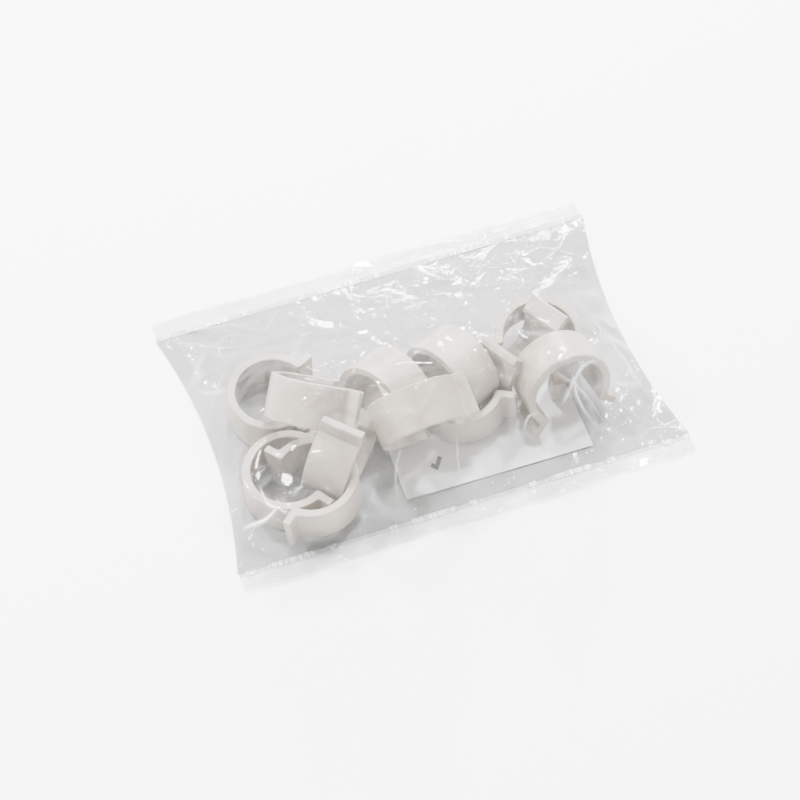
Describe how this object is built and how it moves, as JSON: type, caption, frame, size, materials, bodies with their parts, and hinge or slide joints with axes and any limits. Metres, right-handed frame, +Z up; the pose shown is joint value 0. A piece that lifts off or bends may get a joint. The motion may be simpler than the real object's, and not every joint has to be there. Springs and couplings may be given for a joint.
{
  "type": "leg band pack",
  "caption": "Clip-on leg bands for poultry, open plastic spring rings with two flared lips, loose in a sealed clear film bag over a printed paper slip",
  "frame": {"origin": "middle of the bag's underside, where the bag lies", "axes": "+X along the two heat seals, +Y across the bag to the top seal, +Z up through the pile"},
  "size_m": [0.1308, 0.09, 0.0362],
  "materials": {
    "band_plastic": "satin moulded, pale warm grey",
    "clear_film": "clear glossy film with creases",
    "slip_paper": "thin coated paper"
  },
  "bodies": {
    "bag": {"bag_front_film": "clear_film", "bag_back_film": "clear_film", "top_seal": "clear_film", "bottom_seal": "clear_film"},
    "top_flap": {"top_fin": "clear_film"},
    "bottom_flap": {"bottom_fin": "clear_film"},
    "slip": {"printed_slip": "slip_paper"},
    "band_01": {"leg_band_01": "band_plastic"},
    "band_02": {"leg_band_02": "band_plastic"},
    "band_03": {"leg_band_03": "band_plastic"},
    "band_04": {"leg_band_04": "band_plastic"},
    "band_05": {"leg_band_05": "band_plastic"},
    "band_06": {"leg_band_06": "band_plastic"},
    "band_07": {"leg_band_07": "band_plastic"},
    "band_08": {"leg_band_08": "band_plastic"},
    "band_09": {"leg_band_09": "band_plastic"},
    "band_10": {"leg_band_10": "band_plastic"},
    "band_11": {"leg_band_11": "band_plastic"},
    "band_12": {"leg_band_12": "band_plastic"}
  },
  "joints": [
    {"name": "top_flap_lift", "type": "hinge", "parent": "bag", "child": "top_flap", "pos_m": [0, 0.0407, 0.0003], "axis": [1, 0, 0], "range_deg": [0, 50]},
    {"name": "bottom_flap_lift", "type": "hinge", "parent": "bag", "child": "bottom_flap", "pos_m": [0, -0.0407, 0.0003], "axis": [-1, 0, 0], "range_deg": [0, 50]},
    {"name": "slip_slide", "type": "slide", "parent": "bag", "child": "slip", "axis": [1, 0, 0], "range_m": [-0.02, 0.016]},
    {"name": "band_01_turn", "type": "hinge", "parent": "bag", "child": "band_01", "pos_m": [-0.041, 0.005, 0.007], "axis": [0, 0, 1], "range_deg": [-1, 16]},
    {"name": "band_02_turn", "type": "hinge", "parent": "bag", "child": "band_02", "pos_m": [-0.0325, -0.0045, 0.017], "axis": [-0.4406, -0.6785, -0.5878], "range_deg": [-20, 12]},
    {"name": "band_03_turn", "type": "hinge", "parent": "bag", "child": "band_03", "pos_m": [-0.0125, -0.0085, 0.0155], "axis": [-0.8637, -0.4592, 0.2079], "range_deg": [-1, 3]},
    {"name": "band_04_turn", "type": "hinge", "parent": "bag", "child": "band_04", "pos_m": [-0.0295, -0.02, 0.0135], "axis": [-0.7286, 0.6794, 0.0872], "range_deg": [-1, 6]},
    {"name": "band_05_turn", "type": "hinge", "parent": "bag", "child": "band_05", "pos_m": [-0.0075, -0.0195, 0.021], "axis": [0.0489, -0.9323, -0.3584], "range_deg": [-1, 1]},
    {"name": "band_06_turn", "type": "hinge", "parent": "bag", "child": "band_06", "pos_m": [0.007, -0.007, 0.0145], "axis": [-0.9029, -0.421, 0.0872], "range_deg": [-3, 4]},
    {"name": "band_07_turn", "type": "hinge", "parent": "bag", "child": "band_07", "pos_m": [0.027, -0.006, 0.013], "axis": [0.5, -0.866, 0], "range_deg": [-5, 2]},
    {"name": "band_08_turn", "type": "hinge", "parent": "bag", "child": "band_08", "pos_m": [0.0085, -0.011, 0.0085], "axis": [-0.1381, -0.017, 0.9903], "range_deg": [-7, 2]},
    {"name": "band_09_turn", "type": "hinge", "parent": "bag", "child": "band_09", "pos_m": [0.034, -0.003, 0.0095], "axis": [-0.0361, -0.1699, 0.9848], "range_deg": [-18, 4]},
    {"name": "band_10_turn", "type": "hinge", "parent": "bag", "child": "band_10", "pos_m": [0.0345, -0.0185, 0.014], "axis": [0.0498, -0.9498, 0.309], "range_deg": [-3, 1]},
    {"name": "band_11_turn", "type": "hinge", "parent": "bag", "child": "band_11", "pos_m": [-0.0445, -0.02, 0.007], "axis": [0, 0, 1], "range_deg": [0, 1]},
    {"name": "band_12_turn", "type": "hinge", "parent": "bag", "child": "band_12", "pos_m": [-0.039, -0.026, 0.0105], "axis": [-0.0698, 0, 0.9976], "range_deg": [-5, 4]}
  ]
}
